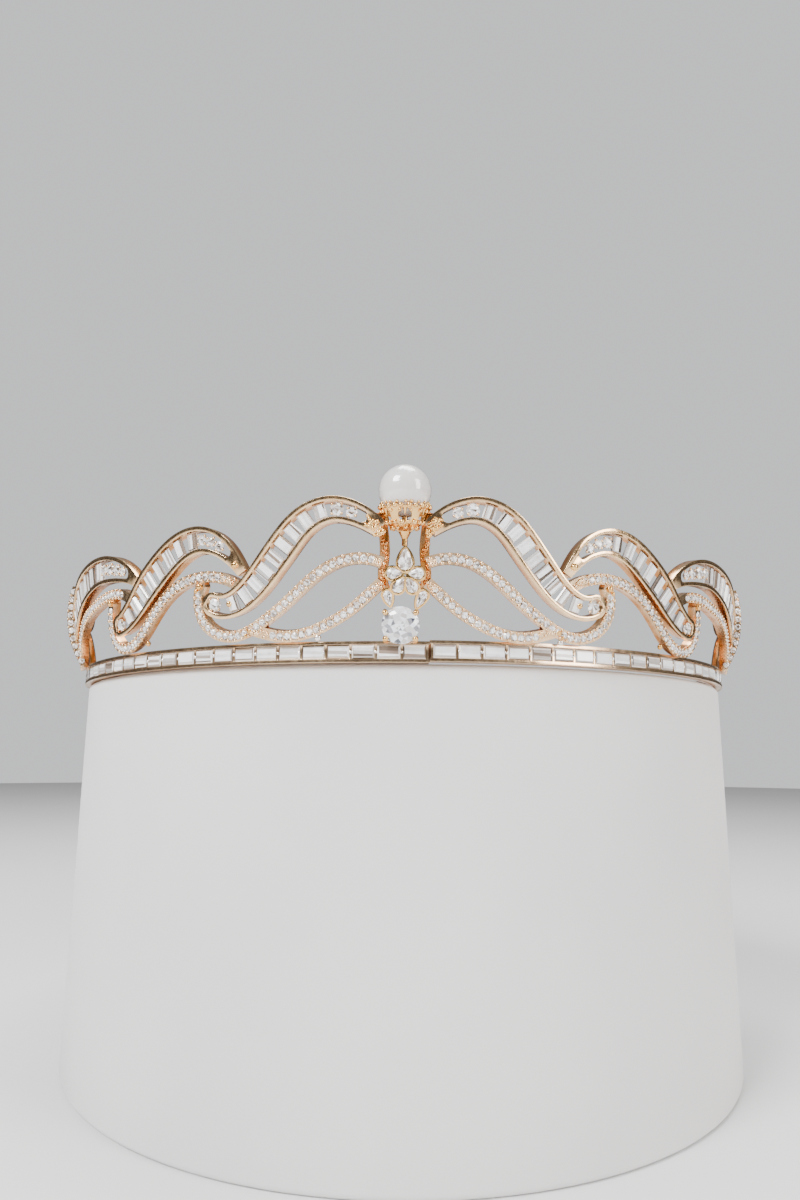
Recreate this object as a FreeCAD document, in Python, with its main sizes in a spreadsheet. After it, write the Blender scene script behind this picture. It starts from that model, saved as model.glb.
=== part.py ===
"""Bridal tiara: a stone-set band with three pairs of scrolls, pavé ribbons and a pearl.

Millimetres, +Z up.  The origin is the centre of the band's circle on its underside, the
front faces -Y and the viewer's right is +X.  The ornament is drawn flat, as (along, up)
points measured from the front centre and the underside, and wrapped onto a cone that
leans outwards, as the cast strip is bent round before the stones are set.
"""
import FreeCAD
import Part
import Sketcher
import math
import os
from FreeCAD import Matrix, Placement, Rotation, Vector

SIZES = (
    # the band and the cone that the ornament stands on
    ("base_radius", 72.0),
    ("flare_angle", 10.0),
    ("band_half_length", 123.0),
    ("band_height", 3.35),
    ("band_depth", 2.0),
    ("band_rail", 0.55),
    ("band_back", 0.6),
    ("seam_along", 4.0),
    ("seam_gap", 0.05),
    ("seam_step", 0.2),
    ("band_stone_pitch", 4.0),
    ("band_bar", 0.35),
    ("band_bar_recess", 0.16),
    ("band_bar_clearance", 0.04),
    ("band_stone_clearance", 0.12),
    # the ornament as a whole
    ("ornament_height", 25.4),
    ("ornament_length", 100.0),
    ("shell_height", 40.0),
    ("stone_clearance", 0.03),
    # the scrolls
    ("scroll_rail", 0.75),
    ("scroll_front", 1.1),
    ("scroll_back", 0.9),
    ("scroll_play", 0.08),
    ("baguette_width", 2.0),
    ("baguette_recess", 0.15),
    ("baguette_clearance", 0.35),
    ("front_baguette_pitch", 2.4),
    ("middle_baguette_pitch", 2.55),
    ("side_baguette_pitch", 3.2),
    # the pavé ribbons
    ("pave_stone", 1.12),
    ("pave_gap", 0.08),
    ("pave_edge", 0.34),
    ("pave_front", 0.4),
    ("pave_back", 1.1),
    # the centre
    ("strut_width", 1.5),
    ("strut_front", -0.3),
    ("pearl_radius", 4.1),
    ("pearl_clearance", 0.03),
    ("cup_rim_radius", 3.85),
    ("cup_hub_wall", 0.6),
    ("cup_wall", 0.55),
    ("cup_rim_wall", 1.0),
    ("cup_floor", 0.5),
    ("cup_window", 1.05),
    ("tooth_radius", 0.38),
    ("tooth_tip", 0.08),
    ("tooth_length", 1.15),
    ("tooth_inset", 0.42),
    ("tooth_drop", 0.1),
    ("collar_width", 0.55),
    ("collar_height", 1.1),
    ("post_radius", 0.45),
    ("post_clearance", 0.02),
    ("post_reach", 3.6),
    ("post_tail", 8.55),
    ("petal_wall", 0.3),
    ("petal_front", 1.2),
    ("petal_back", 1.6),
    ("drop_radius", 2.93),
    ("drop_relief", 0.8),
    ("drop_back", 0.9),
    ("drop_ring", 2.4),
    ("drop_ring_wall", 0.8),
    ("prong_radius", 0.38),
    ("prong_bite", 0.12),
    ("prong_top", 0.35),
    ("prong_arm", 0.3),
    ("foot_width", 2.2),
    ("foot_height", 3.0),
    ("foot_depth", 0.7),
    ("foot_sink", 0.4),
    # the two ends
    ("side_leaf_along", 83.6),
    ("side_leaf_width", 1.6),
    ("side_leaf_depth", 1.2),
    ("side_leaf_bow", 4.4),
    ("side_leaf_top", 20.2),
    ("side_leaf_stone", 1.0),
    ("side_leaf_gap", 0.5),
    ("side_leaf_first", 1.6),
    ("side_leaf_last", 1.2),
    ("end_stem_width", 1.2),
    ("leaf_length", 11.0),
    ("leaf_width", 4.2),
    ("leaf_wall", 0.4),
    ("leaf_front", 0.6),
    ("leaf_back", 1.3),
    ("loop_radius", 1.5),
    ("loop_bore", 0.85),
    ("loop_thickness", 1.0),
    ("loop_reach", 2.0),
)

# The flat drawing was made at these sizes, and is stretched to the ones on the sheet.
DRAWN_BAND_TOP = 3.35
DRAWN_HEIGHT = 25.4
DRAWN_LENGTH = 100.0

# Proportions of a round stone to its radius, a baguette to its height and a petal to its width.
ROUND_GIRDLE = 0.06
ROUND_TABLE = 0.58
ROUND_CROWN = 0.3
ROUND_PAVILION = 0.82
ROUND_POINT = 0.06
BAGUETTE_CROWN = 0.38
BAGUETTE_KEEL = 0.62
PETAL_PAVILION = 0.4
PETAL_POINT = 0.12
PETAL_RIM = 0.1
# How deep a stone's girdle sits below the metal's face, to the stone's radius.
PAVE_SINK = 0.12
SCROLL_SINK = 0.45
# How far the side leaf leans out at its foot and at its tip, to its bow, and its widest level.
LEAF_FOOT_LEAN = 0.2
LEAF_TIP_LEAN = 0.92
LEAF_BOW_LEVEL = 0.6
# The cup's levels under the pearl's middle, to the pearl's radius, and its waist to its rim.
CUP_RIM_LEVEL = -0.66
CUP_WAIST_LEVEL = -1.22
CUP_HUB_LEVEL = -1.55
CUP_WAIST = 0.74
CUP_WINDOWS = 6
# Directions of the drop stone's prongs, in degrees.
PRONGS = (40, 140, 222, 318)

# Centre lines: (along, up, width) for the scrolls, (along, up) for ribbons of one width.
FRONT_SCROLL = (
    (3.6, 20.2, 2.6), (6.6, 22.3, 3.4), (10.6, 23.4, 3.9), (14.6, 22.0, 4.4), (18.2, 18.3, 4.8),
    (21.4, 14.4, 4.8), (24.8, 11.0, 4.5), (28.2, 9.5, 4.1), (30.9, 9.9, 3.8),
)
MIDDLE_SCROLL = (
    (25.2, 14.4, 1.6), (27.1, 17.1, 2.6), (29.6, 19.3, 3.7), (33.0, 20.3, 4.4), (37.2, 19.3, 4.9),
    (41.6, 16.6, 5.3), (45.4, 13.8, 5.3), (48.9, 10.9, 4.8), (52.0, 9.0, 4.2), (53.9, 8.4, 3.8),
)
SIDE_SCROLL = (
    (47.6, 15.2, 1.8), (50.8, 17.2, 3.5), (54.8, 18.4, 4.6), (60.0, 18.8, 5.0), (65.6, 18.1, 5.4),
    (71.4, 16.6, 5.6), (76.7, 14.4, 5.4), (81.1, 12.2, 5.0), (85.5, 10.3, 4.5), (89.0, 9.4, 3.9),
)
# Where stones lie along each scroll: opening, first and last baguette, then round stones.
FRONT_STONES = (3.4, 9.9, 3.7, ((5.0, 0.85), (7.3, 1.05), (-0.3, 1.1)))
MIDDLE_STONES = (4.4, 12.0, 3.2, ((6.3, 0.85), (8.1, 0.8), (9.9, 0.9), (-0.2, 1.1)))
SIDE_STONES = (3.8, 14.2, 3.2, ((5.0, 0.8), (7.0, 1.0), (9.4, 1.1), (11.7, 1.0), (-0.2, 1.1)))
FRONT_UPPER_PAVE = (
    (3.3, 15.1), (6.3, 15.9), (9.2, 15.6), (12.0, 14.4), (15.4, 11.9), (19.1, 8.8), (22.8, 6.3),
    (27.0, 4.6), (31.0, 5.2), (33.5, 7.4), (34.2, 10.2), (33.5, 13.0),
)
FRONT_LOWER_PAVE = (
    (3.4, 12.2), (5.8, 10.0), (8.2, 8.0), (11.2, 6.2), (14.6, 4.8), (18.2, 4.2), (21.4, 4.6), (24.0, 5.4),
)
MIDDLE_PAVE = (
    (26.6, 12.6), (30.0, 14.1), (33.4, 14.4), (37.0, 13.8), (40.6, 12.2), (43.8, 9.9), (47.0, 7.1),
    (50.2, 4.9), (53.6, 4.2), (56.4, 5.1), (57.8, 7.4), (57.9, 10.0), (57.2, 12.7),
)
SIDE_PAVE = (
    (50.6, 12.4), (54.4, 14.0), (58.6, 14.0), (63.4, 13.3), (68.2, 12.4), (72.8, 11.2), (77.0, 9.4),
    (80.9, 7.2), (84.8, 5.0), (88.8, 4.2), (92.6, 4.8), (95.4, 6.8), (96.4, 9.6), (95.6, 12.4),
)
STRUT = ((3.6, 23.0), (3.1, 19.4), (3.0, 16.5), (3.3, 13.6), (3.0, 11.4))
END_STEM = ((95.9, 12.2), (98.9, 12.9), (101.8, 11.5), (103.0, 7.8), (102.6, 3.95))

# Where things sit on the drawing.
PEARL_UP = 26.15
DROP_AT = (-0.55, 5.75)
LEAF_AT = (104.5, 16.7)
LEAF_TURN = 33.5
# Petals of the centre: (along, up, length, width, direction of the point in degrees).
PETALS = (
    (0.1, 15.2, 3.5, 2.3, 90), (-1.75, 13.5, 2.5, 1.8, 0), (1.95, 13.5, 2.5, 1.8, 180),
    (-0.95, 11.5, 2.6, 1.8, 58), (1.15, 11.5, 2.6, 1.8, 122),
    (-2.45, 10.1, 2.4, 1.3, -75), (2.6, 9.95, 2.8, 1.3, -117),
)


def set_up_sheet(doc):
    """Put every driving size in a spreadsheet, under a plain name."""
    sheet = doc.addObject("Spreadsheet::Sheet", "Sizes")
    for row, (name, value) in enumerate(SIZES, start=1):
        sheet.set(f"A{row}", name)
        sheet.set(f"B{row}", str(value))
        sheet.setAlias(f"B{row}", name)
    doc.recompute()
    return sheet


doc = FreeCAD.newDocument("BridalTiara")
sheet = set_up_sheet(doc)


def size(name):
    """The value of one driving size."""
    return float(sheet.get(name))


FLARE = math.tan(math.radians(size("flare_angle")))
BASE = size("base_radius")
LIFT_RATIO = (size("ornament_height") - size("band_height")) / (DRAWN_HEIGHT - DRAWN_BAND_TOP)
LENGTH_RATIO = size("ornament_length") / DRAWN_LENGTH
AIM_DRAWN_HEIGHT = 13.0


def lift(up):
    """Height above the underside of a drawn height."""
    return size("band_height") + (up - DRAWN_BAND_TOP) * LIFT_RATIO


def radius_at(height, relief=0.0):
    """Radius of the flared cone at a height, with relief counted outwards."""
    return BASE + relief + height * FLARE


AIM = Vector(0, 0, lift(AIM_DRAWN_HEIGHT) + radius_at(lift(AIM_DRAWN_HEIGHT)) * FLARE)


def wrap(point, relief=0.0):
    """The place on the cone of a point of the flat drawing, already at full size."""
    angle = point.x / BASE
    radius = radius_at(point.y, relief)
    return Vector(radius * math.sin(angle), -radius * math.cos(angle), point.y)


def placement(origin, x_axis, y_axis, z_axis):
    """A placement from an origin and three unit axes."""
    return Placement(Matrix(x_axis.x, y_axis.x, z_axis.x, origin.x,
                            x_axis.y, y_axis.y, z_axis.y, origin.y,
                            x_axis.z, y_axis.z, z_axis.z, origin.z,
                            0, 0, 0, 1))


def seat_frame(point, turn=0.0, relief=0.0):
    """A placement on the cone: x along (turned by turn), y up, z outwards.

    Outwards is the direction from the aim point, which every wall of the ornament follows.
    """
    angle = point.x / BASE
    outward = (wrap(point) - AIM).normalize()
    sideways = Vector(math.cos(angle), math.sin(angle), 0)
    upward = outward.cross(sideways).normalize()
    x_axis = sideways * math.cos(turn) + upward * math.sin(turn)
    y_axis = outward.cross(x_axis)
    return placement(wrap(point) + outward * relief, x_axis, y_axis, outward)


def band_frame(along, up, relief=0.0):
    """A placement on the upright band: x along, y up, z outwards."""
    angle = along / BASE
    outward = Vector(math.sin(angle), -math.cos(angle), 0)
    sideways = Vector(math.cos(angle), math.sin(angle), 0)
    return placement(outward * (BASE + relief) + Vector(0, 0, up), sideways, Vector(0, 0, 1), outward)


class Strip:
    """A ribbon of the flat drawing: a smooth centre line that carries a width."""

    def __init__(self, points, side=1, width=None):
        drawn = [p if len(p) == 3 else (p[0], p[1], width) for p in points]
        places = [Vector(side * p[0] * LENGTH_RATIO, lift(p[1]), p[2]) for p in drawn]
        self.curve = Part.BSplineCurve()
        self.curve.interpolate(places)
        self.side = side
        self.length = self.curve.length()

    def at(self, distance):
        """Point, direction and width at a distance along the centre line."""
        value = min(max(distance, 0.0), self.length)
        parameter = self.curve.parameterAtDistance(value, self.curve.FirstParameter)
        place = self.curve.value(parameter)
        ahead = self.curve.tangent(parameter)[0]
        ahead = Vector(ahead.x, ahead.y, 0).normalize()
        return Vector(place.x, place.y, 0), ahead, place.z

    def edge(self, distance, sign, inset=0.0):
        """Point on one edge of the ribbon, drawn in by inset."""
        point, ahead, width = self.at(distance)
        across = Vector(-ahead.y, ahead.x, 0)
        return point + across * sign * (width / 2 - inset)

    def outline(self, start, end, inset=0.0, stations=14, round_start=False):
        """Closed outline from start to end: two edges, a round tail and a flat or round head."""
        steps = [start + (end - start) * i / (stations - 1) for i in range(stations)]
        left = [self.edge(step, 1, inset) for step in steps]
        right = [self.edge(step, -1, inset) for step in reversed(steps)]
        tail, tail_ahead, tail_width = self.at(end)
        head, head_ahead, head_width = self.at(start)
        tail_tip = tail + tail_ahead * (tail_width / 2 - inset)
        head_tip = head - head_ahead * (head_width / 2 - inset)
        closing = ("arc", [right[-1], head_tip, left[0]]) if round_start else ("line", [right[-1], left[0]])
        return [("spline", left), ("arc", [left[-1], tail_tip, right[0]]), ("spline", right), closing]


def on_plane(point, middle_angle, distance):
    """Where the wall line through a drawn point crosses an upright plane in front of the axis."""
    place = Rotation(Vector(0, 0, 1), -math.degrees(middle_angle)).multVec(wrap(point))
    scale = distance / -place.y
    return Vector(place.x * scale, AIM.z + (place.z - AIM.z) * scale, 0)


def origin_plane(body, role):
    """One of the body's own origin planes."""
    return next(item for item in body.Origin.OriginFeatures if item.Role == role)


def draw_outline(body, name, outline, middle_angle, distance):
    """A sketch of an outline, on a plane at a distance in front of the axis."""
    sketch = body.newObject("Sketcher::SketchObject", name)
    sketch.AttachmentSupport = [(origin_plane(body, "XZ_Plane"), "")]
    sketch.MapMode = "FlatFace"
    sketch.AttachmentOffset = Placement(Vector(0, 0, distance), Rotation())
    for kind, flat_points in outline:
        points = [on_plane(point, middle_angle, distance) for point in flat_points]
        if kind == "line":
            sketch.addGeometry(Part.LineSegment(*points), False)
        elif kind == "arc":
            sketch.addGeometry(Part.Arc(*points), False)
        else:
            spline = Part.BSplineCurve()
            spline.interpolate(points)
            sketch.addGeometry(spline, False)
    return sketch


NEAR_PLANE = 0.8 * BASE
FAR_PLANE = 1.2 * BASE + size("shell_height") * FLARE


def add_loft(body, kind, name, outline, middle_angle):
    """A straight-walled block through an outline, its walls following the aim point."""
    near = draw_outline(body, name + "Near", outline, middle_angle, NEAR_PLANE)
    far = draw_outline(body, name + "Far", outline, middle_angle, FAR_PLANE)
    loft = body.newObject("PartDesign::" + kind, name)
    loft.Profile = near
    loft.Sections = [far]
    loft.Ruled = True
    return loft


def ribbon_block(name, strip, outline, openings=()):
    """A body that holds a ribbon's outline, with openings cut through it."""
    middle, _, _ = strip.at(strip.length / 2)
    middle_angle = middle.x / BASE
    body = doc.addObject("PartDesign::Body", name)
    body.Placement = Placement(Vector(0, 0, 0), Rotation(Vector(0, 0, 1), math.degrees(middle_angle)))
    add_loft(body, "AdditiveLoft", name + "Block", outline, middle_angle)
    for number, opening in enumerate(openings):
        add_loft(body, "SubtractiveLoft", f"{name}Opening{number}", opening, middle_angle)
    return body


def cone_shell(name, back, front):
    """The slice of the flared cone between two reliefs, given as expressions."""
    walls = []
    for part, relief in (("Outer", front), ("Inner", back)):
        cone = doc.addObject("Part::Cone", name + part)
        cone.setExpression("Radius1", f"Sizes.base_radius + {relief}")
        cone.setExpression("Height", "Sizes.shell_height")
        flare = "Sizes.shell_height * tan(Sizes.flare_angle * 1 deg)"
        cone.setExpression("Radius2", f"Sizes.base_radius + {relief} + {flare}")
        walls.append(cone)
    return boolean("Part::Cut", name, walls[0], walls[1])


def boolean(kind, label, base, tool):
    """A Part boolean of two objects."""
    result = doc.addObject(kind, label.replace(" ", "_"))
    result.Label = label
    result.Base = base
    result.Tool = tool
    return result


def hold_shape(label, shape):
    """A Part::Feature for a shape that no single feature makes."""
    feature = doc.addObject("Part::Feature", label)
    feature.Label = label
    feature.Shape = shape
    return feature


NODES = []


def keep(feature, label):
    """Name a finished sub-part and list it for export."""
    feature.Label = label
    NODES.append(feature)
    return feature


# ---------------------------------------------------------------- stones

def round_stone(radius):
    """A round brilliant with its girdle at z = 0 and its table towards +z."""
    girdle = ROUND_GIRDLE * radius
    depth = ROUND_PAVILION * radius
    crown = Part.makeCone(radius, ROUND_TABLE * radius, ROUND_CROWN * radius, Vector(0, 0, girdle))
    edge = Part.makeCylinder(radius, girdle)
    pavilion = Part.makeCone(ROUND_POINT * radius, radius, depth, Vector(0, 0, -depth))
    return pavilion.fuse([edge, crown]).removeSplitter()


def round_seat(radius, clearance, height=3.0):
    """The drilled seat of a round stone: a cone that opens into a straight bore."""
    wide = radius + clearance
    depth = ROUND_PAVILION * radius + clearance
    bore = Part.makeCylinder(wide, height)
    cone = Part.makeCone(ROUND_POINT * radius, wide, depth, Vector(0, 0, -depth))
    return cone.fuse(bore)


def loft_levels(outline, levels):
    """A closed solid through copies of an outline, given as (height, x scale, y scale)."""
    wires = []
    for height, x_scale, y_scale in levels:
        stretch = Matrix(x_scale, 0, 0, 0, 0, y_scale, 0, 0, 0, 0, 1, height, 0, 0, 0, 1)
        wires.append(outline.transformGeometry(stretch))
    return Part.makeLoft(wires, True, True)


def step_stone(corners, height):
    """A baguette on four corners: flat table, stepped crown, keel underneath."""
    outline = Part.makePolygon(corners + corners[:1])
    levels = ((-BAGUETTE_KEEL * height, 0.12, 0.8), (0.0, 1.0, 1.0), (0.1 * height, 1.0, 1.0),
              (BAGUETTE_CROWN * height, 0.62, 0.82))
    return loft_levels(outline, levels)


def pear_outline(length, width):
    """A pear outline: round below, pointed towards +y."""
    tip = Vector(0, 0.62 * length, 0)
    bottom = Vector(0, -0.38 * length, 0)
    right = Vector(width / 2, 0, 0)
    left = Vector(-width / 2, 0, 0)
    right_bulge = Vector(0.36 * width, 0.3 * length, 0)
    left_bulge = Vector(-0.36 * width, 0.3 * length, 0)
    arcs = ((left, bottom, right), (right, right_bulge, tip), (tip, left_bulge, left))
    edges = [Part.Arc(*points) for points in arcs]
    return Part.Wire([edge.toShape() for edge in edges])


def navette_outline(length, width):
    """A navette outline: two arcs that meet in a point at each end."""
    top = Vector(0, length / 2, 0)
    bottom = Vector(0, -length / 2, 0)
    side = Vector(width / 2, 0, 0)
    edges = [Part.Arc(bottom, side, top), Part.Arc(top, -side, bottom)]
    return Part.Wire([edge.toShape() for edge in edges])


def petal_stone(outline, width):
    """A fancy-cut stone on an outline, with its girdle at z = 0."""
    levels = ((-PETAL_PAVILION * width, PETAL_POINT, PETAL_POINT), (0.0, 1.0, 1.0),
              (0.05 * width, 1.0, 1.0), (0.2 * width, 0.6, 0.6))
    return loft_levels(outline, levels)


def petal_setting(outline, width, wall, back, clearance):
    """The block of a closed-back bezel round a fancy-cut stone, before its seat is cut."""
    rim = PETAL_RIM * width
    block = Part.Face(outline.makeOffset2D(wall + clearance)).extrude(Vector(0, 0, back + rim))
    block.translate(Vector(0, 0, -back))
    return block


def petal_seat(outline, width, clearance):
    """The room that a fancy-cut stone needs in its bezel: a well under a straight opening."""
    ledge = 0.06 * width
    opening = Part.Face(outline.makeOffset2D(clearance)).extrude(Vector(0, 0, width + ledge))
    opening.translate(Vector(0, 0, -ledge))
    depth = PETAL_PAVILION * width + clearance
    well = loft_levels(outline, ((-depth, PETAL_POINT, PETAL_POINT), (-clearance, 1.0, 1.0)))
    return opening.fuse(well)


def put(shape, frame):
    """A copy of a shape, moved to a placement."""
    moved = shape.copy()
    moved.Placement = frame.multiply(moved.Placement)
    return moved


# ---------------------------------------------------------------- the band

def band_channel(name, start, end, step):
    """One segment of the band: a channel that holds long baguettes, open to the front."""
    body = doc.addObject("PartDesign::Body", name)
    front_to_side = 90
    start_angle = math.degrees(start / BASE) - front_to_side
    body.Placement = Placement(Vector(0, 0, step), Rotation(Vector(0, 0, 1), start_angle))
    sketch = body.newObject("Sketcher::SketchObject", name + "Profile")
    sketch.AttachmentSupport = [(origin_plane(body, "XZ_Plane"), "")]
    sketch.MapMode = "FlatFace"
    outer = BASE
    inner = BASE - size("band_depth")
    floor = inner + size("band_back")
    top = size("band_height")
    low = size("band_rail")
    high = top - low
    corners = [(inner, 0), (outer, 0), (outer, low), (floor, low), (floor, high), (outer, high),
               (outer, top), (inner, top)]
    points = [Vector(x, y, 0) for x, y in corners]
    for first, second in zip(points, points[1:] + points[:1]):
        sketch.addGeometry(Part.LineSegment(first, second), False)
    count = len(points)
    for line in range(count):
        sketch.addConstraint(Sketcher.Constraint("Coincident", line, 2, (line + 1) % count, 1))
        sketch.addConstraint(Sketcher.Constraint("Horizontal" if line % 2 == 0 else "Vertical", line))
    origin_point = (-1, 1)
    driven = (
        ("OuterRadius", "DistanceX", (*origin_point, 1, 1), outer, "Sizes.base_radius"),
        ("Depth", "DistanceX", (0, 1, 0, 2), outer - inner, "Sizes.band_depth"),
        ("Back", "DistanceX", (0, 1, 3, 1), floor - inner, "Sizes.band_back"),
        ("LowRail", "DistanceY", (1, 1, 1, 2), low, "Sizes.band_rail"),
        ("HighRail", "DistanceY", (5, 1, 5, 2), low, "Sizes.band_rail"),
        ("Height", "DistanceY", (1, 1, 5, 2), top, "Sizes.band_height"),
    )
    for constraint_name, kind, places, value, expression in driven:
        number = sketch.addConstraint(Sketcher.Constraint(kind, *places, value))
        sketch.renameConstraint(number, constraint_name)
        sketch.setExpression(f"Constraints.{constraint_name}", expression)
    sketch.addConstraint(Sketcher.Constraint("DistanceY", 0, 1, -1, 1, 0.0))
    turn = body.newObject("PartDesign::Revolution", name + "Sweep")
    turn.Profile = sketch
    turn.ReferenceAxis = (sketch, ["V_Axis"])
    turn.Angle = math.degrees((end - start) / BASE)
    return body


def band_segment(side_label, start, end, step):
    """A channel with a thin bar between each two of its long baguettes."""
    channel = band_channel("Band" + side_label.title(), start, end, step)
    pitch = size("band_stone_pitch")
    count = int((end - start - 2 * size("band_bar")) / pitch)
    first = start + size("band_bar") if start > 0 else end - size("band_bar") - count * pitch
    play = size("stone_clearance")
    half_length = (pitch - size("band_bar")) / 2 - play
    opening = size("band_height") - 2 * size("band_rail")
    half_height = opening / 2 - play
    middle = size("band_height") / 2 + step
    corners = [Vector(-half_height, -half_length, 0), Vector(half_height, -half_length, 0),
               Vector(half_height, half_length, 0), Vector(-half_height, half_length, 0)]
    room = size("band_depth") - size("band_back")
    depth = room - size("band_stone_clearance")
    stone = step_stone(corners, depth)
    lengthwise = Placement(Vector(0, 0, 0), Rotation(Vector(0, 0, 1), 90))
    relief = -BAGUETTE_CROWN * depth
    frames = [band_frame(first + (i + 0.5) * pitch, middle, relief) for i in range(count)]
    stones = [put(stone, frame.multiply(lengthwise)) for frame in frames]
    label = f"band_baguettes_{side_label}"
    keep(hold_shape(label, Part.makeCompound(stones)), label)
    sink = -size("band_bar_recess")
    bar_depth = room + sink - size("band_bar_clearance")
    bar = Part.makeBox(size("band_bar"), opening, bar_depth,
                       Vector(-size("band_bar") / 2, -opening / 2, -bar_depth))
    bars = [put(bar, band_frame(first + i * pitch, middle, sink)) for i in range(count + 1)]
    divided = doc.addObject("Part::MultiFuse", "BandDivided" + side_label.title())
    divided.Shapes = [channel, hold_shape("BandBars" + side_label.title(), Part.makeCompound(bars))]
    return keep(divided, f"band_channel_{side_label}")


# ---------------------------------------------------------------- scrolls and ribbons

def scroll(name, side, side_label, points, shell, stones_at, blockers):
    """One scroll: an open frame of two rails, its tapered baguettes and its round stones.

    stones_at gives where the opening, the first baguette and the last one lie along the
    scroll, the last counted from its end, and each round stone's distance and radius.
    """
    head, first_baguette, last_baguette, rounds = stones_at
    strip = Strip(points, side)
    rail = size("scroll_rail")
    tag = f"{name.title().replace('_', '')}{side_label.title()}"
    whole = strip.outline(0.0, strip.length)
    opening = strip.outline(head, strip.length, inset=rail, round_start=True)
    block = ribbon_block(tag, strip, whole, [opening])
    frame = boolean("Part::Common", tag + "Frame", block, shell)
    for number, blocker in enumerate(blockers):
        frame = boolean("Part::Cut", f"{tag}Trimmed{number}", frame, blocker)
    keep(frame, f"{name}_frame_{side_label}")
    solid_block = ribbon_block(tag + "Whole", strip, whole)

    play = rail + size("scroll_play")
    half = size("baguette_width") / 2
    room = strip.length - last_baguette - first_baguette
    count = int(room / size(name.replace("scroll", "baguette_pitch"))) + 1
    pitch = room / (count - 1)
    stones = []
    for number in range(count):
        middle = first_baguette + number * pitch
        centre, ahead, _ = strip.at(middle)
        turn = math.atan2(ahead.y, ahead.x)
        across = Vector(-ahead.y, ahead.x, 0)
        corners = []
        for shift, sign in ((-half, -1), (half, -1), (half, 1), (-half, 1)):
            offset = strip.edge(middle + shift, sign, play) - centre
            corners.append(Vector(shift, offset.dot(across), 0))
        surface = size("scroll_front") - size("baguette_recess")
        depth = surface + size("scroll_back") - size("baguette_clearance")
        relief = surface - BAGUETTE_CROWN * depth
        stones.append(put(step_stone(corners, depth), seat_frame(centre, turn, relief)))
    label = f"{name}_baguettes_{side_label}"
    keep(hold_shape(label, Part.makeCompound(stones)), label)

    gems = []
    for distance, radius in rounds:
        place = distance if distance > 0 else strip.length + distance
        centre, _, _ = strip.at(place)
        relief = size("scroll_front") - SCROLL_SINK * radius
        gems.append(put(round_stone(radius), seat_frame(centre, 0.0, relief)))
    label = f"{name}_round_stones_{side_label}"
    keep(hold_shape(label, Part.makeCompound(gems)), label)
    return solid_block


def pave(name, side, side_label, points, shell, first, last, blockers):
    """One pavé ribbon: a solid strip drilled for a single row of small round stones."""
    stone_width = size("pave_stone")
    strip = Strip(points, side, stone_width + 2 * size("pave_edge"))
    tag = f"{name.title().replace('_', '')}{side_label.title()}"
    outline = strip.outline(0.0, strip.length)
    block = ribbon_block(tag, strip, outline)
    ribbon = boolean("Part::Common", tag + "Ribbon", block, shell)
    radius = stone_width / 2
    room = strip.length - first - last
    count = int(room / (stone_width + size("pave_gap"))) + 1
    pitch = room / (count - 1)
    relief = size("pave_front") - PAVE_SINK * radius
    frames = []
    for number in range(count):
        centre, _, _ = strip.at(first + number * pitch)
        frames.append(seat_frame(centre, 0.0, relief))
    seat = round_seat(radius, size("stone_clearance"))
    seats = hold_shape(tag + "Seats", Part.makeCompound([put(seat, frame) for frame in frames]))
    ribbon = boolean("Part::Cut", tag + "Drilled", ribbon, seats)
    for number, blocker in enumerate(blockers):
        ribbon = boolean("Part::Cut", f"{tag}Trimmed{number}", ribbon, blocker)
    keep(ribbon, f"{name}_ribbon_{side_label}")
    stone = round_stone(radius)
    label = f"{name}_stones_{side_label}"
    keep(hold_shape(label, Part.makeCompound([put(stone, frame) for frame in frames])), label)
    return block


# ---------------------------------------------------------------- the centre

def drawn(along, up):
    """A point of the flat drawing at full size."""
    return Vector(along * LENGTH_RATIO, lift(up), 0)


def radial_copies(shape, count, axis=Vector(0, 0, 1)):
    """Copies of a shape, evenly turned about an axis through the origin."""
    copies = []
    for number in range(count):
        copy = shape.copy()
        copy.rotate(Vector(0, 0, 0), axis, 360 * number / count)
        copies.append(copy)
    return copies


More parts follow.
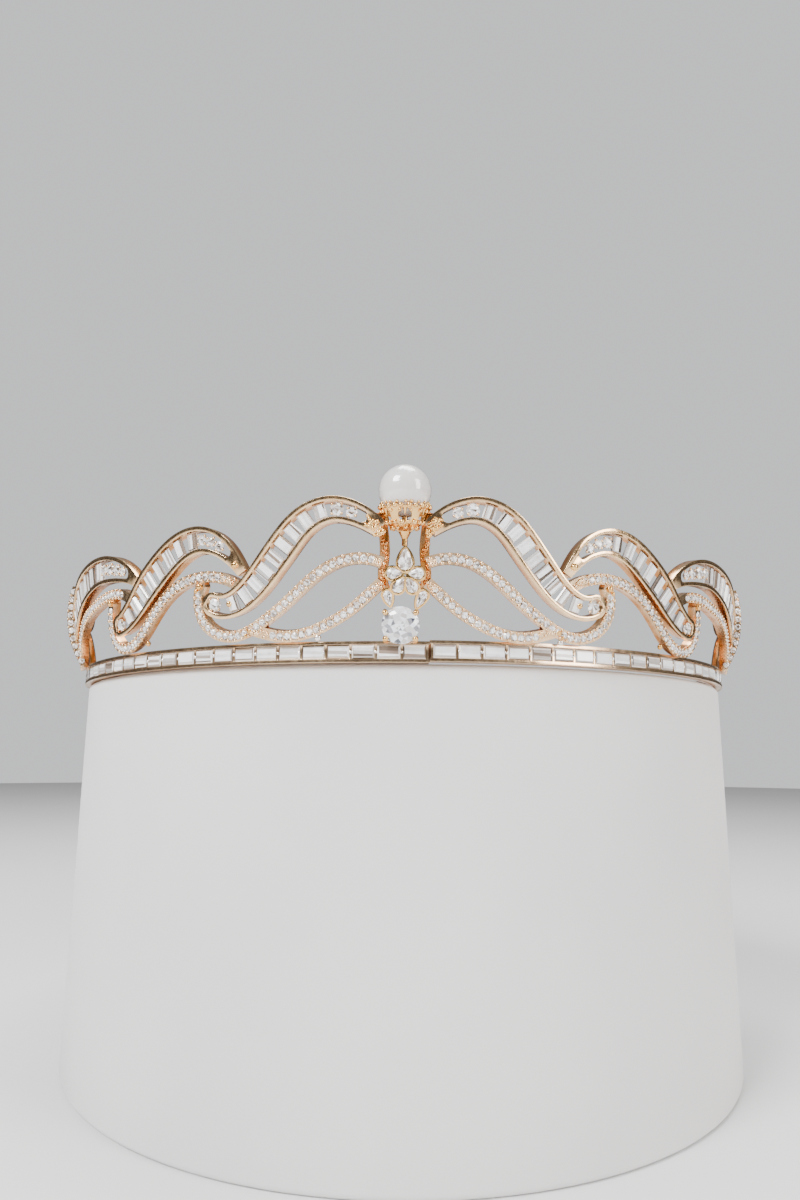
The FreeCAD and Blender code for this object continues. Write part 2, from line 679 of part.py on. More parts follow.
def pearl_group(frame):
    """The pearl on its post, in a pierced cup with a tooth over each window."""
    radius = size("pearl_radius")
    rim = size("cup_rim_radius")
    post = size("post_radius")
    hub = post + size("cup_hub_wall")
    wall = size("cup_wall")
    floor = size("cup_floor")
    rim_level = CUP_RIM_LEVEL * radius
    waist_level = CUP_WAIST_LEVEL * radius
    hub_level = CUP_HUB_LEVEL * radius
    waist = CUP_WAIST * rim
    clearance = size("post_clearance")

    ball = doc.addObject("Part::Sphere", "PearlBall")
    ball.setExpression("Radius", "Sizes.pearl_radius")
    hole = doc.addObject("Part::Cylinder", "PearlHole")
    hole.setExpression("Radius", "Sizes.post_radius + Sizes.post_clearance")
    hole.setExpression("Height", "Sizes.pearl_radius + Sizes.post_clearance")
    hole.setExpression("Placement.Base.z", "Sizes.post_reach - 2 * Sizes.pearl_radius")
    pearl = boolean("Part::Cut", "PearlDrilled", ball, hole)
    pearl.Placement = frame
    keep(pearl, "pearl")

    outside = Part.makeCone(hub, waist, waist_level - hub_level, Vector(0, 0, hub_level))
    outside = outside.fuse(Part.makeCone(waist, rim, rim_level - waist_level, Vector(0, 0, waist_level)))
    hollow = Part.makeCone(hub - floor, waist - wall, waist_level - hub_level - floor,
                           Vector(0, 0, hub_level + floor))
    upper_hollow = Part.makeCone(waist - wall, rim - size("cup_rim_wall"), rim_level - waist_level,
                                 Vector(0, 0, waist_level))
    hollow = hollow.fuse(upper_hollow)
    ball_room = Part.makeSphere(radius + size("pearl_clearance"))
    window_level = 0.5 * (waist_level + rim_level) - 0.15
    window = Part.makeCylinder(size("cup_window"), 2 * rim, Vector(0, 0, window_level), Vector(0, -1, 0))
    drill = Part.makeCylinder(post + clearance, 3 * radius, Vector(0, 0, -3 * radius))
    cup = outside.cut([hollow, ball_room, drill] + radial_copies(window, CUP_WINDOWS))
    tooth = Part.makeCone(size("tooth_radius"), size("tooth_tip"), size("tooth_length"),
                          Vector(0, 0, 0), Vector(0, 0.25, -1))
    tooth.translate(Vector(0, -rim + size("tooth_inset"), rim_level - size("tooth_drop")))
    cup = cup.fuse(radial_copies(tooth, CUP_WINDOWS)).cut(ball_room)
    keep(hold_shape("pearl_cup", put(cup, frame)), "pearl_cup")

    shank = doc.addObject("Part::Cylinder", "PostShank")
    shank.setExpression("Radius", "Sizes.post_radius")
    shank.setExpression("Height", "Sizes.post_tail + Sizes.post_reach - Sizes.pearl_radius")
    shank.setExpression("Placement.Base.z", "-1 * Sizes.post_tail")
    collar = doc.addObject("Part::Cone", "PostCollar")
    collar.setExpression("Radius1", "Sizes.post_radius")
    collar.setExpression("Radius2", "Sizes.post_radius + Sizes.collar_width")
    collar.setExpression("Height", "Sizes.collar_height")
    collar.Placement.Base = Vector(0, 0, hub_level - size("collar_height"))
    whole = doc.addObject("Part::Fuse", "PostWhole")
    whole.Base = shank
    whole.Tool = collar
    whole.Placement = frame
    keep(whole, "pearl_post")
    return hold_shape("CupRoom", put(outside.fuse(ball_room), frame))


def centre_group(neighbours):
    """Petal-shaped stones in closed bezels, and the two arms that reach to the drop stone."""
    clearance = size("stone_clearance")
    bezels = []
    stones = []
    wells = []
    for along, up, length, width, direction in PETALS:
        outline = pear_outline(length, width)
        frame = seat_frame(drawn(along, up), math.radians(direction - 90), size("petal_front"))
        bezel = petal_setting(outline, width, size("petal_wall"), size("petal_back"), clearance)
        bezels.append(put(bezel, frame))
        stones.append(put(petal_stone(outline, width), frame))
        wells.append(put(petal_seat(outline, width, clearance), frame))
    drop_frame = seat_frame(drawn(*DROP_AT), 0.0, size("drop_relief"))
    room = Part.makeCylinder(size("drop_radius") + clearance, 4, Vector(0, 0, -0.3))
    body = bezels[0].fuse(bezels[1:]).cut(wells + [put(room, drop_frame)])
    plain = hold_shape("CentreBezels", body)
    trimmed = plain
    for number, neighbour in enumerate(neighbours):
        trimmed = boolean("Part::Cut", f"CentreTrimmed{number}", trimmed, neighbour)
    setting = keep(trimmed, "centre_setting")
    keep(hold_shape("centre_stones", Part.makeCompound(stones)), "centre_stones")
    return drop_frame, setting


def drop_group(frame, bodies):
    """The round drop stone in its open basket: a ring, four prongs and a foot on the band."""
    radius = size("drop_radius")
    ring = size("drop_ring")
    prong = size("prong_radius")
    wall = size("drop_ring_wall")
    arm = size("prong_arm")
    back = -size("drop_relief") - size("drop_back")
    hoop = Part.makeCylinder(ring, wall, Vector(0, 0, back))
    hoop = hoop.cut(Part.makeCylinder(ring - wall, 3 * wall, Vector(0, 0, back - wall)))
    reach = radius + prong - size("prong_bite")
    start = back + wall - arm / 2
    top = size("prong_top")
    pieces = []
    for corner in PRONGS:
        angle = math.radians(corner)
        outward = Vector(math.cos(angle), math.sin(angle), 0)
        bead = outward * (reach - size("prong_bite")) + Vector(0, 0, top)
        arm_start = outward * (ring - wall / 2) + Vector(0, 0, start + 0.6 * arm)
        pieces.append(Part.makeCylinder(prong, top - start, outward * reach + Vector(0, 0, start)))
        pieces.append(Part.makeSphere(1.15 * prong, bead))
        pieces.append(Part.makeCylinder(arm, reach - ring + 0.6 * wall, arm_start, outward))
    width = size("foot_width")
    foot_level = size("band_height") - lift(DROP_AT[1]) - size("foot_sink")
    foot = Part.makeBox(width, size("foot_height"), size("foot_depth"),
                        Vector(-width / 2, foot_level, back + 0.2 * arm))
    seat = round_stone(radius + size("stone_clearance"))
    basket = hoop.fuse(pieces + [foot]).cut(seat)
    feature = hold_shape("DropBasket", put(basket, frame))
    for number, body in enumerate(bodies):
        feature = boolean("Part::Cut", f"DropTrimmed{number}", feature, body)
    keep(feature, "drop_setting")
    keep(hold_shape("drop_stone", put(round_stone(radius), frame)), "drop_stone")


# ---------------------------------------------------------------- the ends

def side_leaf(side, side_label, blockers):
    """A slim leaf that stands on edge beside the last scroll, with stones on its front face."""
    frame = band_frame(side * size("side_leaf_along"), 0.0)
    depth = size("side_leaf_depth")
    width = size("side_leaf_width")
    bow = size("side_leaf_bow")
    top = size("side_leaf_top")
    foot = Vector(0, size("band_height"), LEAF_FOOT_LEAN * bow)
    middle = Vector(0, LEAF_BOW_LEVEL * top, bow)
    tip = Vector(0, top, LEAF_TIP_LEAN * bow)
    inwards = Vector(0, 0, -depth)
    outer = Part.Arc(foot, middle, tip)
    end = Part.LineSegment(tip, tip + inwards)
    inner = Part.Arc(tip + inwards, middle + inwards, foot + inwards)
    start = Part.LineSegment(foot + inwards, foot)
    outline = Part.Wire([edge.toShape() for edge in (outer, end, inner, start)])
    plate = Part.Face(outline).extrude(Vector(width, 0, 0))
    plate.translate(Vector(-width / 2, 0, 0))

    radius = size("side_leaf_stone") / 2
    clearance = size("stone_clearance")
    front = Rotation(Vector(0, 1, 0), -90 * side)
    surface = -side * (width / 2 - PAVE_SINK * radius)
    first = size("side_leaf_first")
    room = outer.length() - first - size("side_leaf_last")
    count = int(room / (2 * radius + size("side_leaf_gap"))) + 1
    pitch = room / (count - 1)
    places = []
    for number in range(count):
        parameter = outer.parameterAtDistance(first + number * pitch, outer.FirstParameter)
        centre = outer.value(parameter) + inwards / 2
        places.append(frame.multiply(Placement(Vector(surface, centre.y, centre.z), front)))
    seats = [put(round_seat(radius, clearance), place) for place in places]
    tag = side_label.title()
    feature = hold_shape("SideLeafPlate" + tag, put(plate, frame).cut(seats))
    for number, blocker in enumerate(blockers):
        feature = boolean("Part::Cut", f"SideLeafTrimmed{number}{tag}", feature, blocker)
    keep(feature, f"side_leaf_{side_label}")
    stones = [put(round_stone(radius), place) for place in places]
    label = f"side_leaf_stones_{side_label}"
    keep(hold_shape(label, Part.makeCompound(stones)), label)


def end_leaf(side, side_label, blockers):
    """A navette-shaped leaf in a closed bezel, which ends the ornament."""
    outline = navette_outline(size("leaf_length"), size("leaf_width"))
    turn = math.radians(side * (LEAF_TURN - 90))
    frame = seat_frame(drawn(side * LEAF_AT[0], LEAF_AT[1]), turn, size("leaf_front"))
    clearance = size("stone_clearance")
    setting = petal_setting(outline, size("leaf_width"), size("leaf_wall"), size("leaf_back"), clearance)
    setting = setting.cut(petal_seat(outline, size("leaf_width"), clearance))
    feature = hold_shape("LeafBezel" + side_label.title(), put(setting, frame))
    for number, blocker in enumerate(blockers):
        feature = boolean("Part::Cut", f"LeafTrimmed{number}{side_label.title()}", feature, blocker)
    keep(feature, f"end_leaf_setting_{side_label}")
    stone = put(petal_stone(outline, size("leaf_width")), frame)
    keep(hold_shape(f"end_leaf_stone_{side_label}", stone), f"end_leaf_stone_{side_label}")


def end_loop(side, side_label, band, step):
    """A ring at the end of the band for a pin or a ribbon tie."""
    tag = side_label.title()
    disc = doc.addObject("Part::Cylinder", "LoopDisc" + tag)
    disc.setExpression("Radius", "Sizes.loop_radius")
    disc.setExpression("Height", "Sizes.loop_thickness")
    neck = doc.addObject("Part::Box", "LoopNeck" + tag)
    neck.setExpression("Length", "Sizes.loop_reach")
    neck.setExpression("Width", "1.2 * Sizes.loop_radius")
    neck.setExpression("Height", "Sizes.loop_thickness")
    neck.setExpression("Placement.Base.y", "-0.6 * Sizes.loop_radius")
    if side > 0:
        neck.setExpression("Placement.Base.x", "-1 * Sizes.loop_reach")
    joined = doc.addObject("Part::MultiFuse", "LoopJoined" + tag)
    joined.Shapes = [disc, neck]
    bore = doc.addObject("Part::Cylinder", "LoopBore" + tag)
    bore.setExpression("Radius", "Sizes.loop_bore")
    bore.setExpression("Height", "3 * Sizes.loop_thickness")
    bore.setExpression("Placement.Base.z", "-1 * Sizes.loop_thickness")
    loop = boolean("Part::Cut", "LoopDrilled" + tag, joined, bore)
    along = side * (size("band_half_length") + size("loop_reach"))
    relief = -(size("band_depth") + size("loop_thickness")) / 2
    loop.Placement = band_frame(along, size("band_height") / 2 + step, relief)
    loop = boolean("Part::Cut", "LoopSeated" + tag, loop, band)
    return keep(loop, f"end_loop_{side_label}")


# ---------------------------------------------------------------- build

half_gap = size("seam_gap") / 2
band_left = band_segment("left", -size("band_half_length"), size("seam_along") - half_gap, 0.0)
band_right = band_segment("right", size("seam_along") + half_gap, size("band_half_length"), size("seam_step"))

scroll_shell = cone_shell("ScrollShell", "-1 * Sizes.scroll_back", "Sizes.scroll_front")
pave_shell = cone_shell("PaveShell", "-1 * Sizes.pave_back", "Sizes.pave_front")
strut_shell = cone_shell("StrutShell", "-1 * Sizes.pave_back", "Sizes.strut_front")

pearl_height = lift(PEARL_UP)
slope = math.radians(size("flare_angle"))
pearl_axis = Vector(0, -math.sin(slope), math.cos(slope))
pearl_across = pearl_axis.cross(Vector(1, 0, 0))
pearl_centre = Vector(0, -radius_at(pearl_height), pearl_height)
pearl_frame = placement(pearl_centre, Vector(1, 0, 0), pearl_across, pearl_axis)
cup_room = pearl_group(pearl_frame)

centre_neighbours = []
halves = ((-1, "left", band_left, 0.0), (1, "right", band_right, size("seam_step")))
for side, side_label, band, step in halves:
    tag = side_label.title()
    strut_strip = Strip(STRUT, side, size("strut_width"))
    strut_block = ribbon_block("Strut" + tag, strut_strip, strut_strip.outline(0.0, strut_strip.length))
    strut = boolean("Part::Common", "StrutSlice" + tag, strut_block, strut_shell)
    strut = boolean("Part::Cut", "StrutTrimmed" + tag, strut, cup_room)
    keep(strut, f"centre_strut_{side_label}")
    front = scroll("front_scroll", side, side_label, FRONT_SCROLL, scroll_shell, FRONT_STONES,
                   [strut, cup_room])
    middle = scroll("middle_scroll", side, side_label, MIDDLE_SCROLL, scroll_shell, MIDDLE_STONES, [front])
    rear = scroll("side_scroll", side, side_label, SIDE_SCROLL, scroll_shell, SIDE_STONES, [middle])
    side_pave = pave("side_pave", side, side_label, SIDE_PAVE, pave_shell, 3.0, 1.2, [middle, band])
    middle_pave = pave("middle_pave", side, side_label, MIDDLE_PAVE, pave_shell, 2.6, 1.4,
                       [front, side_pave, band])
    upper = pave("front_upper_pave", side, side_label, FRONT_UPPER_PAVE, pave_shell, 1.7, 1.4,
                 [strut, middle_pave, band])
    lower = pave("front_lower_pave", side, side_label, FRONT_LOWER_PAVE, pave_shell, 1.5, 3.4,
                 [strut, upper, band])
    centre_neighbours.extend([strut, lower])
    stem_strip = Strip(END_STEM, side, size("end_stem_width"))
    stem_block = ribbon_block("Stem" + tag, stem_strip, stem_strip.outline(0.0, stem_strip.length))
    stem = boolean("Part::Common", "StemSlice" + tag, stem_block, pave_shell)
    stem = boolean("Part::Cut", "StemTrimmed" + tag, stem, side_pave)
    stem = boolean("Part::Cut", "StemSeated" + tag, stem, band)
    keep(stem, f"end_stem_{side_label}")
    rear_room = boolean("Part::Common", "RearRoom" + tag, rear, scroll_shell)
    pave_room = boolean("Part::Common", "SidePaveRoom" + tag, side_pave, pave_shell)
    side_leaf(side, side_label, [band, pave_room, rear_room])
    end_leaf(side, side_label, [stem_block])
    end_loop(side, side_label, band, step)

drop_frame, centre_setting = centre_group(centre_neighbours)
drop_group(drop_frame, [band_left, centre_setting])

doc.recompute()
for feature in doc.Objects:
    if any(word in feature.State for word in ("Invalid", "Error")):
        raise RuntimeError(f"{feature.Label} did not build: {feature.State}")
os.makedirs("parts", exist_ok=True)
for node in NODES:
    shape = node.Shape
    if shape.isNull() or not shape.isValid():
        raise RuntimeError(f"{node.Label} is not a valid solid")
    shape.exportStep(f"parts/{node.Label}.step")
    print(node.Label, len(shape.Solids), round(shape.Volume, 2))
print(len(NODES), "sub-parts")
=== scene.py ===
"""Bridal tiara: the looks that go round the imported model.

Metres, +Z up, in the model's own frame: the front faces -Y and the band's circle is centred
on the origin.
"""
import math
import random

import bpy
from mathutils import Matrix, Vector


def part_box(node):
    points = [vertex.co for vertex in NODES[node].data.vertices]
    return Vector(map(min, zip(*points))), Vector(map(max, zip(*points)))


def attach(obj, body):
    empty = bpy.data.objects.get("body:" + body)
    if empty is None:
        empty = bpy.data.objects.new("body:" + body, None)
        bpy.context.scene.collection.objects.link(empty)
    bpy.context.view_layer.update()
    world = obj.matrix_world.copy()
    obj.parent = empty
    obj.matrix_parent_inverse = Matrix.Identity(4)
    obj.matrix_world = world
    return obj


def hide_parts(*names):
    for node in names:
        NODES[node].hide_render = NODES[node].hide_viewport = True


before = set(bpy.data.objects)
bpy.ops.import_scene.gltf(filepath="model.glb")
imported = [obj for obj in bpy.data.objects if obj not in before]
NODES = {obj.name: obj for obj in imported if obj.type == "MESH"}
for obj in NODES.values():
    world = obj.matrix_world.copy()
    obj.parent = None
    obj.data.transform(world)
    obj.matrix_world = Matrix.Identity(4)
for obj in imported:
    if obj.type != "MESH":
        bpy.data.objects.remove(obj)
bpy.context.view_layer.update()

MM = 0.001
SIDES = ("left", "right")
FLARE = math.tan(math.radians(10))
# The band passes the widest place of its circle, so its side gives the circle's radius.
BASE_RADIUS = -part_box("band_channel_left")[0].x
AIM_HEIGHT = 13 * MM
AIM = Vector((0, 0, AIM_HEIGHT + (BASE_RADIUS + AIM_HEIGHT * FLARE) * FLARE))


# ---------------------------------------------------------------- shader helpers

class Socket:
    """A node's output that Python arithmetic works on."""

    def __init__(self, nodes, output):
        self.nodes = nodes
        self.output = output

    def math(self, operation, *others):
        return self.nodes.add("ShaderNodeMath", {"operation": operation}, {
            number: value for number, value in enumerate((self, *others))})

    def __add__(self, other):
        return self.math("ADD", other)

    def __sub__(self, other):
        return self.math("SUBTRACT", other)

    def __mul__(self, other):
        return self.math("MULTIPLY", other)

    def __radd__(self, other):
        return self + other

    def __rmul__(self, other):
        return self * other

    def __rsub__(self, other):
        return self * -1 + other


class Material:
    """A material of nodes, with one method that adds any node."""

    def __init__(self, name):
        self.material = bpy.data.materials.new(name)
        self.material.use_nodes = True
        self.tree = self.material.node_tree
        self.tree.nodes.clear()

    def add(self, kind, settings=None, inputs=None, output=0):
        """A node of a kind: settings first, then its sockets' values or links."""
        node = self.tree.nodes.new(kind)
        for name, value in (settings or {}).items():
            if name == "stops":
                self.set_stops(node.color_ramp, value)
            else:
                setattr(node, name, value)
        for name, value in (inputs or {}).items():
            if isinstance(value, Socket):
                self.tree.links.new(value.output, node.inputs[name])
            else:
                node.inputs[name].default_value = value
        return Socket(self, node.outputs[output])

    def set_stops(self, ramp, stops):
        while len(ramp.elements) < len(stops):
            ramp.elements.new(1.0)
        for element, (place, colour) in zip(ramp.elements, stops):
            element.position = place
            element.color = (*colour, 1)

    def place(self, stretch=(1, 1, 1)):
        """Object coordinates, stretched."""
        coordinates = self.add("ShaderNodeTexCoord", output="Object")
        return self.add("ShaderNodeMapping", None, {"Vector": coordinates, "Scale": stretch})

    def noise(self, scale, detail=3.0, roughness=0.5, stretch=(1, 1, 1)):
        inputs = {"Vector": self.place(stretch), "Scale": scale, "Detail": detail, "Roughness": roughness}
        return self.add("ShaderNodeTexNoise", None, inputs)

    def span(self, value, low, high, to_low=0.0, to_high=1.0):
        """A value between low and high, moved to another range and held in it."""
        inputs = {"Value": value, "From Min": low, "From Max": high, "To Min": to_low, "To Max": to_high}
        return self.add("ShaderNodeMapRange", None, inputs)

    def ramp(self, value, stops):
        return self.add("ShaderNodeValToRGB", {"stops": stops}, {"Fac": value})

    def mix(self, factor, first, second, blend="MIX"):
        """Two colours mixed."""
        node = self.tree.nodes.new("ShaderNodeMix")
        node.data_type = "RGBA"
        node.blend_type = blend
        for name, value in ((0, factor), (6, first), (7, second)):
            if isinstance(value, Socket):
                self.tree.links.new(value.output, node.inputs[name])
            else:
                node.inputs[name].default_value = (*value, 1) if isinstance(value, tuple) else value
        return Socket(self, node.outputs[2])

    def bump(self, height, distance, strength):
        inputs = {"Height": height, "Distance": distance, "Strength": strength}
        return self.add("ShaderNodeBump", None, inputs)

    def finish(self, **inputs):
        """The surface shader and the output."""
        named = {name.replace("_", " "): value for name, value in inputs.items()}
        surface = self.add("ShaderNodeBsdfPrincipled", None, named)
        self.add_output(surface)
        return self.material

    def add_output(self, surface):
        node = self.tree.nodes.new("ShaderNodeOutputMaterial")
        self.tree.links.new(surface.output, node.inputs["Surface"])

    def relief(self):
        """How far a place stands out of the cone that carries the ornament, in millimetres."""
        place = self.add("ShaderNodeTexCoord", output="Object")
        parts = self.add("ShaderNodeSeparateXYZ", None, {"Vector": place})
        x, y, z = (Socket(self, parts.output.node.outputs[i]) for i in range(3))
        radius = (x * x + y * y).math("SQRT")
        return (radius - z * FLARE - BASE_RADIUS) * (1 / MM)


# ---------------------------------------------------------------- materials

def gold(name, bright, painted_recess_shade, roughness, painted_shade_from=-0.9, painted_shade_to=0.5):
    """Polished cast gold: painted shade darkens it in the recesses, and it keeps its own bright colour where
    it stands out.

    The colour goes from the painted shade to bright across the relief that its last two arguments give, in
    millimetres out of the cone.
    """
    metal = Material(name)
    clouds = metal.noise(420, 4.0)
    scratches = metal.noise(1500, 2.0, 0.6, (1, 1, 0.12))
    # Painted shade: depth is 0 in the recesses and 1 where the metal stands out. The colour falls towards the
    # shade colour with it, mixed with random clouds of tone.
    depth = metal.span(metal.relief(), painted_shade_from, painted_shade_to)
    clouds_and_painted_shade = metal.span(clouds, 0.35, 0.65) * 0.3 + depth * 0.7
    colour = metal.mix(clouds_and_painted_shade, painted_recess_shade, bright)
    stain = metal.span(metal.noise(900, 3.0), 0.62, 0.78)
    colour = metal.mix(stain * (1 - depth) * 0.6, colour, (0.30, 0.15, 0.05))
    rough = metal.span(scratches, 0.3, 0.8, roughness, roughness + 0.14) + (1 - depth) * 0.08
    dents = metal.bump(metal.noise(260, 3.0), 0.02 * MM, 0.5)
    return metal.finish(Base_Color=colour, Metallic=1.0, Roughness=rough, Normal=dents)


def crystal(name, pale, painted_tinted_reflection, dark, painted_glow_strength):
    """Cut crystal with painted reflections: each facet has a painted tone, from a white flash through grey to
    a dark one.
    """
    glass = Material(name)
    tone = glass.add("ShaderNodeAttribute", {"attribute_name": "facet_tone"}, output="Fac")
    stops = ((0.0, dark), (0.2, painted_tinted_reflection), (0.4, (0.52, 0.49, 0.47)), (0.62, (0.78, 0.77, 0.77)), (0.8, pale))
    colour = glass.ramp(tone, stops)
    # Painted reflection: random clouds tint the facets towards the tinted colour, as the metal round a stone
    # would colour it.
    tinted_reflection_clouds = glass.span(glass.noise(900, 3.0), 0.45, 0.75)
    colour = glass.mix(tinted_reflection_clouds * 0.3, colour, painted_tinted_reflection)
    # Painted glow: the bright facets give off their pale colour, though a stone is no lamp.
    painted_glow_colour = glass.mix(glass.span(tone, 0.55, 0.95), (0, 0, 0), pale)
    rough = glass.span(glass.noise(1600, 2.0), 0.3, 0.8, 0.03, 0.09)
    return glass.finish(Base_Color=colour, Roughness=rough, IOR=2.0, Coat_Weight=0.5, Coat_Roughness=0.03,
                        Emission_Color=painted_glow_colour, Emission_Strength=painted_glow_strength)


def pearl_nacre():
    """Nacre: a soft white with clouds of pink and cool grey, under a clear lustre."""
    nacre = Material("pearl_nacre")
    clouds = nacre.span(nacre.noise(160, 2.0), 0.35, 0.65)
    colour = nacre.mix(clouds, (0.66, 0.64, 0.63), (0.80, 0.78, 0.76))
    rosy = nacre.span(nacre.noise(230, 2.0, 0.4, (1, 1, 1.6)), 0.55, 0.75)
    colour = nacre.mix(rosy * 0.35, colour, (0.84, 0.68, 0.64))
    rough = nacre.span(nacre.noise(900, 3.0), 0.3, 0.7, 0.24, 0.34)
    grain = nacre.bump(nacre.noise(1800, 3.0), 0.004 * MM, 0.5)
    return nacre.finish(Base_Color=colour, Roughness=rough, Normal=grain, Coat_Weight=1.0,
                        Coat_Roughness=0.07, Coat_IOR=1.8)


def display_fabric(name, light, shade, scale):
    """A pale, close-napped fabric for the stand and the floor."""
    cloth = Material(name)
    clouds = cloth.span(cloth.noise(scale, 4.0), 0.3, 0.7)
    colour = cloth.mix(clouds, shade, light)
    nap = cloth.bump(cloth.noise(scale * 60, 3.0), 0.15 * MM, 0.25)
    return cloth.finish(Base_Color=colour, Roughness=0.85, Normal=nap)


# Each gold's second colour is painted shade, laid into its recesses.
PALE_GOLD = gold("polished_champagne_gold", (0.95, 0.67, 0.38), (0.50, 0.18, 0.03), 0.11, 0.1, 1.0)
PAVE_GOLD = gold("pave_gold", (0.93, 0.68, 0.42), (0.48, 0.18, 0.035), 0.15, -0.5, 0.6)
BAND_GOLD = gold("band_gold", (0.92, 0.67, 0.43), (0.38, 0.18, 0.08), 0.14, -1.5, -0.4)
DEEP_GOLD = gold("deep_yellow_gold", (0.97, 0.64, 0.26), (0.62, 0.24, 0.02), 0.12, -1.0, 1.8)
# The crystals' pale, tinted and dark colours are painted reflections, and the last number is the strength of
# a painted glow.
CRYSTAL = crystal("cut_crystal", (0.98, 0.98, 0.99), (0.34, 0.25, 0.19), (0.03, 0.025, 0.02), 0.42)
DROP_CRYSTAL = crystal("drop_crystal", (0.88, 0.93, 0.98), (0.30, 0.30, 0.34), (0.02, 0.03, 0.06), 0.26)
NACRE = pearl_nacre()
# Near-white gold: its pale colour is a painted highlight on the band's beads, and its second colour is
# painted shade.
HIGHLIGHT_WHITE_GOLD = gold("buffed_white_gold", (0.98, 0.95, 0.92), (0.80, 0.62, 0.46), 0.10, -2.0, -1.0)


# ---------------------------------------------------------------- modelling helpers

MERGE_GAP = 0.002 * MM
FLAT_ANGLE = math.radians(1)
SHARP_ANGLE = math.radians(40)
POLISH_SMOOTH_ANGLE = math.radians(32)
POLISH_SEGMENTS = 3


def select_only(piece):
    """Select one piece and nothing else."""
    bpy.ops.object.select_all(action="DESELECT")
    piece.select_set(True)
    bpy.context.view_layer.objects.active = piece


def edit(piece):
    """Enter edit mode on one piece with nothing selected."""
    select_only(piece)
    bpy.ops.object.mode_set(mode="EDIT")
    bpy.ops.mesh.select_all(action="DESELECT")


def leave_edit():
    bpy.ops.object.mode_set(mode="OBJECT")


def apply_modifier(piece, kind, **settings):
    """Add a modifier to a piece and apply it."""
    select_only(piece)
    modifier = piece.modifiers.new(kind.title(), kind)
    for name, value in settings.items():
        setattr(modifier, name, value)
    bpy.ops.object.modifier_apply(modifier=modifier.name)


def settle(piece):
    """Put a piece's place in its mesh."""
    select_only(piece)
    bpy.ops.object.transform_apply(location=True, rotation=True, scale=True)


def wear(piece, material):
    """Give a piece one material."""
    piece.data.materials.clear()
    piece.data.materials.append(material)


def merged_copy(node, name):
    """A copy of a CAD node, merged from its loose triangles."""
    piece = bpy.data.objects.new(name, NODES[node].data.copy())
    bpy.context.scene.collection.objects.link(piece)
    edit(piece)
    bpy.ops.mesh.select_all(action="SELECT")
    bpy.ops.mesh.remove_doubles(threshold=MERGE_GAP)
    bpy.ops.mesh.customdata_custom_splitnormals_clear()
    leave_edit()
    return piece


def shaded_smooth(piece, angle):
    """Shade a piece smoothly, except across edges sharper than the angle."""
    select_only(piece)
    bpy.ops.object.shade_smooth_by_angle(angle=angle)


def face_outwards(piece):
    """Turn every face of a piece outwards."""
    edit(piece)
    bpy.ops.mesh.select_all(action="SELECT")
    bpy.ops.mesh.normals_make_consistent(inside=False)
    leave_edit()


def stand_in(piece, node, material):
    """Let a finished copy take its node's place, and ride with the tiara."""
    wear(piece, material)
    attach(piece, "root")
    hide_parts(node)


def polished(node, width, material):
    """Stand in for a gold node with a copy whose edges are rounded by polishing."""
    piece = merged_copy(node, node + "_polished")
    edit(piece)
    bpy.ops.mesh.select_all(action="SELECT")
    bpy.ops.mesh.dissolve_limited(angle_limit=FLAT_ANGLE)
    leave_edit()
    apply_modifier(piece, "BEVEL", width=width, segments=POLISH_SEGMENTS, limit_method="ANGLE",
                   angle_limit=SHARP_ANGLE, loop_slide=False)
    shaded_smooth(piece, POLISH_SMOOTH_ANGLE)
    stand_in(piece, node, material)


def smoothed(node, material):
    """Stand in for a node with a merged copy that shades smoothly."""
    piece = merged_copy(node, node + "_smooth")
    shaded_smooth(piece, SHARP_ANGLE)
    stand_in(piece, node, material)


# ---------------------------------------------------------------- places

def on_cone(along, up, relief=0.0):
    """A place on the leaning front, from millimetres along the band, up and out of it."""
    angle = along * MM / BASE_RADIUS
    radius = BASE_RADIUS + up * MM * FLARE
    surface = Vector((radius * math.sin(angle), -radius * math.cos(angle), up * MM))
    return surface + (surface - AIM).normalized() * relief * MM


def off_cone(place):
    """The direction in which a stone or grain of the ornament faces."""
    return (place - AIM).normalized()


def off_band(place):
    """The direction in which a stone of the upright band faces."""
    return Vector((place.x, place.y, 0)).normalized()


def to_front(place):
    """The direction in which the stones on the upright side leaves face."""
    outward = off_band(place)
    along = Vector((-outward.y, outward.x, 0))
    return along if place.x < 0 else -along


def stance(place, facing, upright=Vector((0, 0, 1))):
    """A turn and a place: z along facing, y as upright as it can be."""
    sideways = upright.cross(facing).normalized()
    turn = Matrix((sideways, facing.cross(sideways), facing)).transposed().to_4x4()
    return Matrix.Translation(place) @ turn


def separate_solids(node):
    """The corner points of each separate solid of a CAD node."""
    piece = merged_copy(node, "parting")
    edit(piece)
    bpy.ops.mesh.separate(type="LOOSE")
    leave_edit()
    parts = list(bpy.context.selected_objects)
    solids = [[vertex.co.copy() for vertex in part.data.vertices] for part in parts]
    for part in parts:
        bpy.data.meshes.remove(part.data)
    return solids


def middle_of(points):
    """The middle of the points, each place counted once."""
    return sum(points, Vector()) / len(points)


# Where a stone's girdle lies, as a share of its height from the point or keel up.
ROUND_GIRDLE = 0.695
BAGUETTE_GIRDLE = 0.62
PETAL_GIRDLE = 0.667


